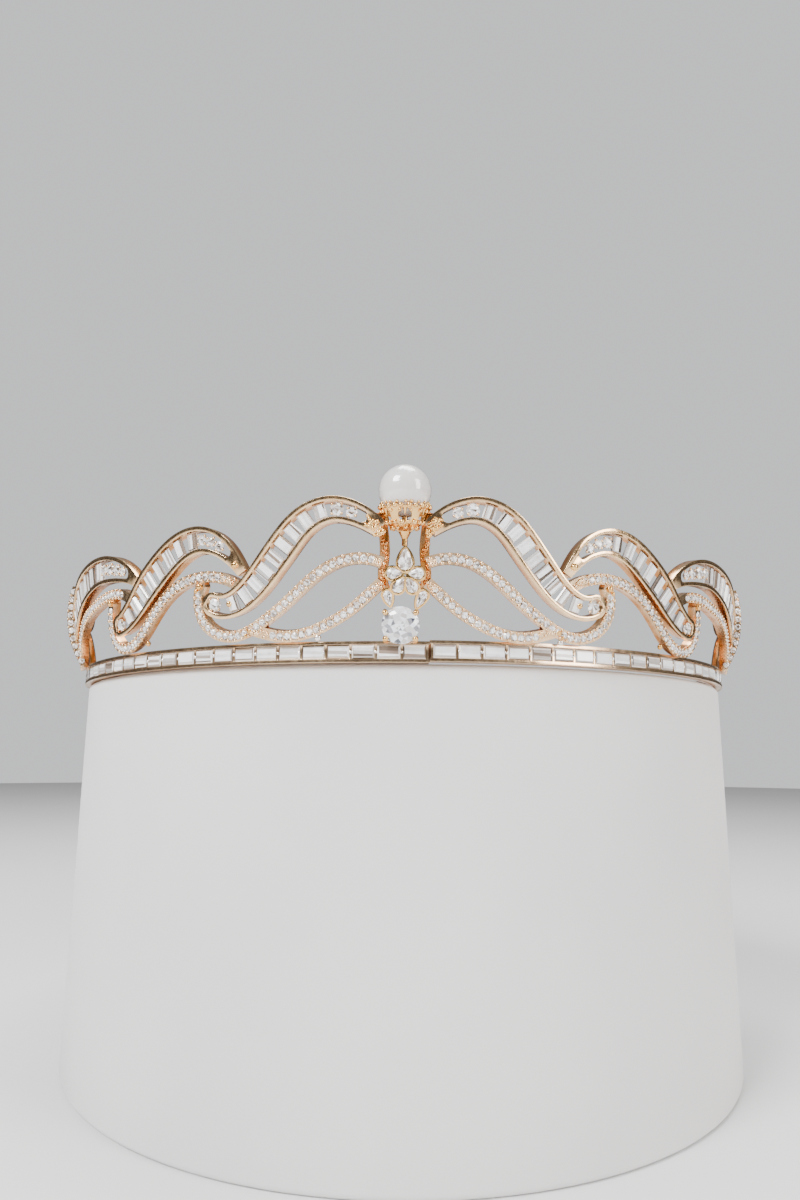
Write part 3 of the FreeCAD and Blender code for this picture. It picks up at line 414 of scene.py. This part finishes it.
class Seat:
    """Where one CAD stone sits: its girdle, the way it faces and its size."""

    def __init__(self, points, facing_at, girdle):
        self.points = points
        middle = middle_of(points)
        self.facing = facing_at(middle)
        heights = [point.dot(self.facing) for point in points]
        self.height = max(heights) - min(heights)
        level = min(heights) + girdle * self.height
        self.place = middle + self.facing * (level - middle.dot(self.facing))
        self.radius = max(self.away(point).length for point in points)

    def away(self, point):
        """How a point lies from the stone's axis, in the plane of the girdle."""
        offset = point - self.place
        return offset - self.facing * offset.dot(self.facing)

    def corners(self):
        """A baguette's four girdle corners in order, the first and second on a long side."""
        sideways = self.away(self.points[0]).normalized()
        upwards = self.facing.cross(sideways)
        flat = [(self.away(point).dot(sideways), self.away(point).dot(upwards)) for point in self.points]
        spread = sum(x * x - y * y for x, y in flat)
        lean = sum(2 * x * y for x, y in flat)
        angle = math.atan2(lean, spread) / 2
        lengthwise = sideways * math.cos(angle) + upwards * math.sin(angle)
        across = self.facing.cross(lengthwise)
        half_length = max(abs(self.away(point).dot(lengthwise)) for point in self.points)
        half_width = max(abs(self.away(point).dot(across)) for point in self.points)
        corners = []
        for along, over in ((-1, -1), (1, -1), (1, 1), (-1, 1)):
            way = lengthwise * along / half_length + across * over / half_width
            corners.append(self.place + max((self.away(point) for point in self.points), key=way.dot))
        return corners

    def tip(self):
        """The direction of a pear's or a navette's point."""
        return max((self.away(point) for point in self.points), key=lambda offset: offset.length).normalized()


# ---------------------------------------------------------------- stones and grains

# A baguette's crown and keel on a unit square: each step's rise, then how far it draws in.
CROWN_STEPS = ((0.1, 1, 1), (0.14, 0.82, 0.92), (0.12, 0.76, 0.92))
KEEL_STEPS = ((-0.36, 0.6, 0.9), (-0.26, 0.2, 0.88))
TABLE_CUTS = (-0.3, 0.16)
TABLE_CUT_WAY = (1, 0.06, 0)
TABLE_ABOVE = 0.3
# How a facet's painted reflection tone is drawn, and the shares of painted bright flashes and of grey ones in
# the rest.
BRIGHT_SHARE = 0.42
GREY_SHARE = 0.65
BRIGHT_TONES = (0.62, 1.0)
GREY_TONES = (0.28, 0.6)
DARK_TONES = (0.0, 0.22)
# Facets turned this far outwards are a stone's table, painted brighter than its sides as if it caught more
# light.
TABLE_FACING = 0.95
TABLE_GAIN = 1.2
SIDE_LOSS = 0.5
# How far a setter may leave a round stone tipped and turned.
STONE_TILT = 0.07
STONE_TURN = math.pi / 4
# How high a grain sits over the girdles beside it, and a claw's place to its stone's radius.
GRAIN_LIFT = 0.12 * MM
CLAW_REACH = 1.03
CLAW_LIFT = 0.16
GRAIN_HEIGHT = 0.85
# Stones of a row that are further apart than this, to their radius, have no grains between them.
ROW_GAP = 4
# A stone whose widest place is at least this far along is a navette, pointed at both ends.
NAVETTE_HEAD = 0.45


def put_away(piece):
    """Keep a model's mesh to copy from, and put its object away."""
    settle(piece)
    mesh = piece.data
    bpy.data.objects.remove(piece)
    return mesh


def cut_stone(name, rings):
    """A stone cut on rings of (corners, radius, height, turn in degrees), wrapped in flat facets."""
    bpy.ops.object.select_all(action="DESELECT")
    corners, radius, height, turn = rings[0]
    bpy.ops.mesh.primitive_circle_add(vertices=corners, radius=radius, location=(0, 0, height),
                                      rotation=(0, 0, math.radians(turn)))
    stone = bpy.context.object
    stone.name = name
    settle(stone)
    edit(stone)
    for corners, radius, height, turn in rings[1:]:
        bpy.ops.mesh.primitive_circle_add(vertices=corners, radius=radius, location=(0, 0, height),
                                          rotation=(0, 0, math.radians(turn)))
    bpy.ops.mesh.select_all(action="SELECT")
    bpy.ops.mesh.convex_hull(join_triangles=True)
    leave_edit()
    face_outwards(stone)
    return put_away(stone)


def step_up(rise, across, lengthwise):
    """Raise the chosen face on a new step and draw it in."""
    bpy.ops.mesh.extrude_region_move(TRANSFORM_OT_translate={"value": (0, 0, rise)})
    bpy.ops.transform.resize(value=(across, lengthwise, 1))


def step_cut():
    """A baguette on a unit square: a keel, a girdle, two steps and a table cut in long facets."""
    bpy.ops.object.select_all(action="DESELECT")
    bpy.ops.mesh.primitive_plane_add(size=2, location=(0, 0, 0))
    stone = bpy.context.object
    edit(stone)
    bpy.ops.mesh.select_all(action="SELECT")
    for step in CROWN_STEPS:
        step_up(*step)
    for place in TABLE_CUTS:
        bpy.ops.mesh.bisect(plane_co=(place, 0, 0), plane_no=TABLE_CUT_WAY)
        choose_faces(stone, lambda face: face.normal.z > 0.99 and face.center.z > TABLE_ABOVE)
    choose_faces(stone, lambda face: face.center.z < 0.01 and abs(face.normal.z) > 0.99)
    for step in KEEL_STEPS:
        step_up(*step)
    leave_edit()
    face_outwards(stone)
    return put_away(stone)


def choose_faces(piece, wanted):
    """Select the faces that a test picks, in edit mode."""
    bpy.ops.object.mode_set(mode="OBJECT")
    for group in (piece.data.vertices, piece.data.edges, piece.data.polygons):
        for item in group:
            item.select = False
    for face in piece.data.polygons:
        if wanted(face):
            face.select = True
            for corner in face.vertices:
                piece.data.vertices[corner].select = True
    bpy.ops.object.mode_set(mode="EDIT")


def grain_model(segments, rings):
    """A low round grain of metal, raised with a graver."""
    bpy.ops.object.select_all(action="DESELECT")
    bpy.ops.mesh.primitive_uv_sphere_add(segments=segments, ring_count=rings, radius=1, location=(0, 0, 0))
    grain = bpy.context.object
    edit(grain)
    bpy.ops.mesh.select_all(action="SELECT")
    bpy.ops.transform.resize(value=(1, 1, GRAIN_HEIGHT))
    leave_edit()
    select_only(grain)
    bpy.ops.object.shade_smooth()
    return put_away(grain)


def reshaped(model, place):
    """A copy of a model's mesh with every corner moved by a rule."""
    mesh = model.copy()
    for vertex in mesh.vertices:
        vertex.co = place(vertex.co)
    return mesh


def joined(name, meshes, material, replaced=()):
    """One piece out of many placed meshes, which rides with the tiara."""
    copies = []
    for mesh in meshes:
        copy = bpy.data.objects.new(name, mesh)
        bpy.context.scene.collection.objects.link(copy)
        copies.append(copy)
    bpy.ops.object.select_all(action="DESELECT")
    for copy in copies:
        copy.select_set(True)
    piece = copies[0]
    bpy.context.view_layer.objects.active = piece
    if len(copies) > 1:
        bpy.ops.object.join()
    piece.name = name
    wear(piece, material)
    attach(piece, "root")
    if replaced:
        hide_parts(*replaced)
    return piece


def paint_facet_reflections(piece, facing_at, table=0.0):
    """Paint each facet a reflection tone of its own: mostly a bright flash, some grey and a few dark.

    table is how much likelier the table is to be painted bright, and the sides less.
    """
    chance = random.Random(piece.name)
    tones = piece.data.attributes.new("facet_tone", "FLOAT", "FACE")
    for face, facet in zip(piece.data.polygons, tones.data):
        outward = face.normal.dot(facing_at(face.center))
        bright = BRIGHT_SHARE + table * (TABLE_GAIN if outward > TABLE_FACING else -SIDE_LOSS)
        roll = chance.random()
        if roll < bright:
            facet.value = chance.uniform(*BRIGHT_TONES)
        elif roll < bright + (1 - bright) * GREY_SHARE:
            facet.value = chance.uniform(*GREY_TONES)
        else:
            facet.value = chance.uniform(*DARK_TONES)


MELEE = cut_stone("melee", (
    (8, 1.0, 0.0, 0), (8, 1.0, 0.1, 0), (8, 0.62, 0.42, 22.5), (4, 0.1, -0.8, 0)))
BRILLIANT = cut_stone("brilliant", (
    (16, 1.0, 0.0, 0), (16, 1.0, 0.06, 0), (8, 0.82, 0.24, 22.5), (8, 0.52, 0.38, 0),
    (16, 0.62, -0.42, 11.25), (8, 0.3, -0.66, 0), (4, 0.05, -0.85, 0)))
ROSE = cut_stone("rose_cut", (
    (16, 1.0, 0.0, 0), (16, 1.0, 0.05, 0), (8, 0.8, 0.22, 22.5), (8, 0.5, 0.36, 0), (4, 0.2, 0.42, 45),
    (8, 0.62, -0.42, 22.5), (4, 0.05, -0.8, 0)))
DROP = cut_stone("drop_brilliant", (
    (32, 1.0, 0.0, 0), (32, 1.0, 0.05, 0), (16, 0.86, 0.17, 11.25), (16, 0.68, 0.27, 0),
    (8, 0.5, 0.335, 11.25), (8, 0.27, 0.36, 33.75), (5, 0.1, 0.368, 10),
    (16, 0.62, -0.42, 11.25), (8, 0.3, -0.66, 0), (4, 0.05, -0.85, 0)))
BAGUETTE = step_cut()
GRAIN = grain_model(8, 5)
BEAD = grain_model(16, 10)


def set_round(seat, model, radius, chance):
    """A round stone in its seat, turned and tipped a little as a setter leaves it."""
    turn = Matrix.Rotation(chance.uniform(0, STONE_TURN), 4, "Z")
    nod = Matrix.Rotation(chance.uniform(-STONE_TILT, STONE_TILT), 4, "X")
    sway = Matrix.Rotation(chance.uniform(-STONE_TILT, STONE_TILT), 4, "Y")
    mesh = model.copy()
    mesh.transform(stance(seat.place, seat.facing) @ nod @ sway @ turn @ Matrix.Scale(radius, 4))
    return mesh


def round_stones(node, model, oversize, facing_at=off_cone, material=CRYSTAL):
    """Cut stones in the places of a node's round stones, and where they sit."""
    seats = [Seat(points, facing_at, ROUND_GIRDLE) for points in separate_solids(node)]
    chance = random.Random(node)
    meshes = [set_round(seat, model, seat.radius * oversize, chance) for seat in seats]
    piece = joined(node + "_cut", meshes, material, (node,))
    paint_facet_reflections(piece, facing_at)
    return seats


def baguettes(node, facing_at=off_cone):
    """Step-cut stones fitted to the corners of a node's baguettes, and where they sit."""
    seats = [Seat(points, facing_at, BAGUETTE_GIRDLE) for points in separate_solids(node)]
    meshes = []
    for seat in seats:
        first, second, third, fourth = seat.corners()

        def place(corner):
            near = first.lerp(second, (corner.y + 1) / 2)
            far = fourth.lerp(third, (corner.y + 1) / 2)
            return near.lerp(far, (corner.x + 1) / 2) + seat.facing * corner.z * seat.height
        meshes.append(reshaped(BAGUETTE, place))
    piece = joined(node + "_cut", meshes, CRYSTAL, (node,))
    face_outwards(piece)
    paint_facet_reflections(piece, facing_at, 0.3)
    return seats


def fancy_stones(node, taper, head):
    """Rose-cut stones on the pear or navette outlines of a node.

    taper narrows the pointed end, and head is the share of the length before the widest place.
    """
    seats = [Seat(points, off_cone, PETAL_GIRDLE) for points in separate_solids(node)]
    meshes = []
    for seat in seats:
        ahead = seat.tip()
        across = seat.facing.cross(ahead)
        runs = [(point - seat.place).dot(ahead) for point in seat.points]
        width = max((point - seat.place).dot(across) for point in seat.points)
        length = max(runs) - min(runs)
        centre = seat.place + ahead * (min(runs) + head * length)

        def place(corner):
            forward = corner.y * length * (1 - head if corner.y > 0 else head)
            tapering = abs(corner.y) if head >= NAVETTE_HEAD else max(corner.y, 0)
            sideways = corner.x * width * (1 - taper * tapering)
            return centre + ahead * forward + across * sideways + seat.facing * corner.z * width
        meshes.append(reshaped(ROSE, place))
    piece = joined(node + "_cut", meshes, CRYSTAL, (node,))
    face_outwards(piece)
    paint_facet_reflections(piece, off_cone)


def in_a_row(seats):
    """Seats put in order along their ribbon, from one end to the other."""
    rest = list(seats)
    middle = middle_of([seat.place for seat in rest])
    start = max(rest, key=lambda seat: (seat.place - middle).length)
    row = [start]
    rest.remove(start)
    while rest:
        following = min(rest, key=lambda seat: (seat.place - row[-1].place).length)
        rest.remove(following)
        row.append(following)
    return row


def bead_at(model, spot, facing, radius):
    """A grain or bead at a spot."""
    mesh = model.copy()
    mesh.transform(stance(spot, facing) @ Matrix.Scale(radius, 4))
    return mesh


def edge_grains(name, seats, reach, radius, material):
    """Two grains of metal between each two stones of a row."""
    chance = random.Random(name)
    meshes = []
    row = in_a_row(seats)
    for one, other in zip(row, row[1:]):
        ahead = other.place - one.place
        if ahead.length > ROW_GAP * one.radius:
            continue
        across = one.facing.cross(ahead).normalized()
        for sign in (-1, 1):
            spot = (one.place + other.place) / 2 + across * sign * reach + one.facing * GRAIN_LIFT
            meshes.append(bead_at(GRAIN, spot, one.facing, radius * chance.uniform(0.9, 1.15)))
    joined(name, meshes, material)


def claws(name, seats, radius, material, count=4):
    """Small claws bent over the edge of each round stone."""
    meshes = []
    for seat in seats:
        base = stance(seat.place, seat.facing)
        for number in range(count):
            angle = 2 * math.pi * (number + 0.5) / count
            away = base.to_3x3() @ Vector((math.cos(angle), math.sin(angle), 0))
            spot = seat.place + (away * CLAW_REACH + seat.facing * CLAW_LIFT) * seat.radius
            meshes.append(bead_at(BEAD, spot, seat.facing, radius))
    joined(name, meshes, material)


def divider_beads(name, seats, radius):
    """A bead on the bar between each two baguettes of the band, painted near-white as a highlight."""
    meshes = []
    row = in_a_row(seats)
    for one, other in zip(row, row[1:]):
        spot = (one.place + other.place) / 2
        facing = off_band(spot)
        meshes.append(bead_at(BEAD, spot + facing * GRAIN_LIFT, facing, radius))
    joined(name, meshes, HIGHLIGHT_WHITE_GOLD)


def beads_on(name, places, material):
    """Solder beads at places given as (along, up, relief, radius) in millimetres."""
    meshes = []
    for along, up, relief, radius in places:
        spot = on_cone(along, up, relief)
        meshes.append(bead_at(BEAD, spot, off_cone(spot), radius * MM))
    joined(name, meshes, material)


def mirrored(path, sign):
    """Places drawn for the right side, put on the side of a sign."""
    return [(sign * along, *rest) for along, *rest in path]


def granulated(name, path, count, spread, sizes, material):
    """Grains of metal scattered along a path of (along, up, relief) places in millimetres."""
    chance = random.Random(name)
    places = []
    for number in range(count):
        step = (len(path) - 1) * (number + chance.uniform(0, 0.9)) / count
        low = int(step)
        share = step - low
        before, after = Vector(path[low]), Vector(path[low + 1])
        along, up, relief = before * (1 - share) + after * share
        along += chance.uniform(-spread, spread)
        up += chance.uniform(-spread, spread)
        places.append((along, up, relief, chance.uniform(*sizes)))
    beads_on(name, places, material)


# Round the cup: level under the pearl's middle and distance from its axis, to the pearl's
# radius, then how many grains and their radius in millimetres.
CUP_RINGS = ((-0.50, 0.90, 20, 0.27), (-0.64, 0.96, 22, 0.40), (-0.82, 0.90, 14, 0.34),
             (-1.24, 0.72, 18, 0.40), (-1.42, 0.50, 12, 0.36))


def cup_beads():
    """Rings of grains round the pearl's cup."""
    low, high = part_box("pearl")
    centre = (Vector(low) + Vector(high)) / 2
    radius = (high[0] - low[0]) / 2
    slope = math.atan(FLARE)
    axis = Vector((0, -math.sin(slope), math.cos(slope)))
    across = Vector((1, 0, 0))
    inward = axis.cross(across)
    chance = random.Random("cup")
    meshes = []
    for level, reach, count, size in CUP_RINGS:
        for number in range(count):
            angle = 2 * math.pi * (number + chance.uniform(-0.12, 0.12)) / count
            away = math.cos(angle) * across + math.sin(angle) * inward
            spot = centre + axis * level * radius + away * reach * radius
            meshes.append(bead_at(GRAIN, spot, away, size * MM * chance.uniform(0.85, 1.15)))
    joined("pearl_cup_grains", meshes, DEEP_GOLD)


# ---------------------------------------------------------------- the tiara

# How wide polishing rounds the edges of each kind of metal.
BAND_EDGE = 0.12 * MM
RAIL_EDGE = 0.26 * MM
LEAF_EDGE = 0.12 * MM
STEM_EDGE = 0.2 * MM
LOOP_EDGE = 0.15 * MM
BEZEL_EDGE = 0.07 * MM

DIVIDER_BEAD = 0.36 * MM
CLAW = 0.24 * MM
PAVE_GRAIN = 0.3 * MM
PAVE_GRAIN_REACH = 0.66 * MM
LEAF_GRAIN = 0.2 * MM
LEAF_GRAIN_REACH = 0.5 * MM

# How much wider than its CAD stone each kind of round stone is cut.
SCROLL_STONE_FILL = 1.05
PAVE_STONE_FILL = 1.08
LEAF_STONE_FILL = 1.25

# Places of the right side as (along, up, relief), and for beads the radius, in millimetres.
HEAD_PATH = ((3.5, 19.4, 1.05), (4.2, 20.6, 1.1), (5.2, 21.5, 1.1))
STRUT_PATH = ((3.1, 18.6, -0.15), (3.0, 16.5, -0.15), (3.3, 13.6, -0.15), (3.0, 11.6, -0.15))
RIBBON_END_PATHS = {
    "upper_start": ((3.5, 15.2, 0.35), (4.7, 15.5, 0.45)),
    "lower_start": ((3.6, 11.9, 0.35), (4.5, 11.1, 0.45)),
    "lower_end": ((21.6, 4.65, 0.45), (24.2, 5.4, 0.45)),
    "middle_start": ((27.0, 13.0, 0.45), (29.2, 13.9, 0.45)),
}
HEAD_GRAIN_SIZES = (0.26, 0.42)
STRUT_GRAIN_SIZES = (0.26, 0.4)
RIBBON_GRAIN_SIZES = (0.2, 0.34)
SOLDER_BEADS = (
    (26.3, 15.7, 1.1, 0.6), (27.8, 9.75, 0.9, 0.5), (33.6, 12.9, 0.5, 0.55), (34.3, 12.2, 0.5, 0.4),
    (57.3, 12.7, 0.5, 0.6), (46.6, 4.6, 0.3, 0.5), (24.6, 5.3, 0.45, 0.45), (25.4, 4.6, 0.4, 0.35))
# Negative along is to the left.
BAND_TOP_BEADS = (
    (-13.4, 3.9, 0.2, 0.55), (25.2, 3.8, 0.2, 0.5), (-2.3, 3.7, 0.4, 0.4), (1.4, 3.7, 0.4, 0.4))


for side in SIDES:
    sign = -1 if side == "left" else 1
    polished(f"band_channel_{side}", BAND_EDGE, BAND_GOLD)
    seats = baguettes(f"band_baguettes_{side}", off_band)
    divider_beads(f"band_divider_beads_{side}", seats, DIVIDER_BEAD)
    for scroll in ("front", "middle", "side"):
        polished(f"{scroll}_scroll_frame_{side}", RAIL_EDGE, PALE_GOLD)
        baguettes(f"{scroll}_scroll_baguettes_{side}")
        seats = round_stones(f"{scroll}_scroll_round_stones_{side}", BRILLIANT, SCROLL_STONE_FILL)
        claws(f"{scroll}_scroll_claws_{side}", seats, CLAW, PALE_GOLD)
    for ribbon in ("front_upper", "front_lower", "middle", "side"):
        wear(NODES[f"{ribbon}_pave_ribbon_{side}"], PAVE_GOLD)
        seats = round_stones(f"{ribbon}_pave_stones_{side}", MELEE, PAVE_STONE_FILL)
        edge_grains(f"{ribbon}_pave_grains_{side}", seats, PAVE_GRAIN_REACH, PAVE_GRAIN, PAVE_GOLD)
    polished(f"side_leaf_{side}", LEAF_EDGE, PAVE_GOLD)
    seats = round_stones(f"side_leaf_stones_{side}", MELEE, LEAF_STONE_FILL, to_front)
    edge_grains(f"side_leaf_grains_{side}", seats, LEAF_GRAIN_REACH, LEAF_GRAIN, PAVE_GOLD)
    polished(f"centre_strut_{side}", STEM_EDGE, PALE_GOLD)
    polished(f"end_stem_{side}", STEM_EDGE, PALE_GOLD)
    polished(f"end_leaf_setting_{side}", LEAF_EDGE, PALE_GOLD)
    polished(f"end_loop_{side}", LOOP_EDGE, PALE_GOLD)
    fancy_stones(f"end_leaf_stone_{side}", taper=0.3, head=0.5)
    granulated(f"front_scroll_head_grains_{side}", mirrored(HEAD_PATH, sign), count=34, spread=0.7,
               sizes=HEAD_GRAIN_SIZES, material=DEEP_GOLD)
    granulated(f"strut_grains_{side}", mirrored(STRUT_PATH, sign), count=26, spread=0.42,
               sizes=STRUT_GRAIN_SIZES, material=PALE_GOLD)
    for place, path in RIBBON_END_PATHS.items():
        granulated(f"{place}_grains_{side}", mirrored(path, sign), count=18, spread=0.5,
                   sizes=RIBBON_GRAIN_SIZES, material=PAVE_GOLD)
    beads_on(f"solder_beads_{side}", mirrored(SOLDER_BEADS, sign), DEEP_GOLD)
# The beads on the band's top are painted near-white as highlights.
beads_on("band_top_beads", BAND_TOP_BEADS, HIGHLIGHT_WHITE_GOLD)
cup_beads()
round_stones("drop_stone", DROP, 1.0, off_cone, DROP_CRYSTAL)
for name in ("pearl_cup", "drop_setting", "centre_setting"):
    polished(name, BEZEL_EDGE, DEEP_GOLD)
wear(NODES["pearl_post"], DEEP_GOLD)
fancy_stones("centre_stones", taper=0.37, head=0.38)
smoothed("pearl", NACRE)


# ---------------------------------------------------------------- the stand, light and camera

PLINTH_RADIUS = BASE_RADIUS - 0.9 * MM
PLINTH_HEIGHT = 75 * MM
FLOOR_REACH = 1.6
LIGHT_TARGET = Vector((0, -0.03, 0.01))
BACKDROP_STRENGTH = 0.95
ROOM_STRENGTH = 0.42


def plinth():
    """A round stand, just smaller than the band."""
    bpy.ops.object.select_all(action="DESELECT")
    bpy.ops.mesh.primitive_cylinder_add(vertices=192, radius=PLINTH_RADIUS, depth=PLINTH_HEIGHT,
                                        location=(0, 0, -PLINTH_HEIGHT / 2))
    stand = bpy.context.object
    stand.name = "plinth"
    settle(stand)
    apply_modifier(stand, "BEVEL", width=1.2 * MM, segments=4, limit_method="ANGLE")
    shaded_smooth(stand, math.radians(30))
    wear(stand, display_fabric("stand_fabric", (0.80, 0.79, 0.78), (0.70, 0.69, 0.69), 18))


def studio_floor():
    """A wide round floor under the stand."""
    bpy.ops.object.select_all(action="DESELECT")
    bpy.ops.mesh.primitive_circle_add(vertices=96, radius=FLOOR_REACH, fill_type="NGON",
                                      location=(0, 0, -PLINTH_HEIGHT))
    floor = bpy.context.object
    floor.name = "studio_floor"
    settle(floor)
    wear(floor, display_fabric("floor_paper", (0.82, 0.82, 0.82), (0.78, 0.78, 0.79), 3))


def soft_light(name, place, width, height, power, colour=(1, 1, 1)):
    """A soft box that faces the tiara's front."""
    lamp = bpy.data.lights.new(name, "AREA")
    lamp.shape = "RECTANGLE"
    lamp.size = width
    lamp.size_y = height
    lamp.energy = power
    lamp.color = colour
    light = bpy.data.objects.new(name, lamp)
    bpy.context.scene.collection.objects.link(light)
    light.location = place
    light.rotation_mode = "QUATERNION"
    light.rotation_quaternion = (LIGHT_TARGET - Vector(place)).to_track_quat("-Z", "Y")


def studio_world():
    """A pale backdrop, and round it a studio that is bright above and dim below."""
    world = bpy.data.worlds.new("studio")
    bpy.context.scene.world = world
    world.use_nodes = True
    tree = world.node_tree
    backdrop = tree.nodes["Background"]
    backdrop.inputs["Color"].default_value = (0.83, 0.84, 0.86, 1)
    backdrop.inputs["Strength"].default_value = BACKDROP_STRENGTH
    room = tree.nodes.new("ShaderNodeBackground")
    place = tree.nodes.new("ShaderNodeTexCoord")
    parts = tree.nodes.new("ShaderNodeSeparateXYZ")
    ramp = tree.nodes.new("ShaderNodeValToRGB")
    ramp.color_ramp.elements[0].position = 0.0
    ramp.color_ramp.elements[0].color = (0.16, 0.15, 0.15, 1)
    ramp.color_ramp.elements[1].position = 0.75
    ramp.color_ramp.elements[1].color = (1.0, 1.0, 1.0, 1)
    tree.links.new(place.outputs["Generated"], parts.inputs["Vector"])
    tree.links.new(parts.outputs["Z"], ramp.inputs["Fac"])
    tree.links.new(ramp.outputs["Color"], room.inputs["Color"])
    room.inputs["Strength"].default_value = ROOM_STRENGTH
    path = tree.nodes.new("ShaderNodeLightPath")
    both = tree.nodes.new("ShaderNodeMixShader")
    tree.links.new(path.outputs["Is Camera Ray"], both.inputs[0])
    tree.links.new(room.outputs["Background"], both.inputs[1])
    tree.links.new(backdrop.outputs["Background"], both.inputs[2])
    tree.links.new(both.outputs["Shader"], tree.nodes["World Output"].inputs["Surface"])


def camera():
    """The viewpoint: low and close in front, tipped up a little."""
    place = Vector((-0.29, -195.463, -13.845)) * MM
    pitch, roll, yaw = 0.18943, 0.0067545, -0.0031797
    forward = Vector((math.sin(yaw) * math.cos(pitch), math.cos(yaw) * math.cos(pitch), math.sin(pitch)))
    level = Vector((math.cos(yaw), -math.sin(yaw), 0))
    upright = level.cross(forward)
    right = math.cos(roll) * level + math.sin(roll) * upright
    up = math.cos(roll) * upright - math.sin(roll) * level
    lens = bpy.data.cameras.new("camera")
    lens.lens = 24.06
    lens.sensor_width = 36
    lens.clip_start = 0.005
    lens.clip_end = 20
    view = bpy.data.objects.new("camera", lens)
    bpy.context.scene.collection.objects.link(view)
    turn = Matrix((right, up, -forward)).transposed().to_4x4()
    view.matrix_world = Matrix.Translation(place) @ turn
    bpy.context.scene.camera = view


plinth()
studio_floor()
soft_light("key", (-0.45, -0.55, 0.55), 0.35, 0.35, 13)
soft_light("fill", (0.6, -0.45, 0.25), 0.25, 0.5, 5, (1, 0.97, 0.94))
soft_light("top", (0.05, 0.05, 0.75), 0.5, 0.3, 6)
studio_world()
camera()
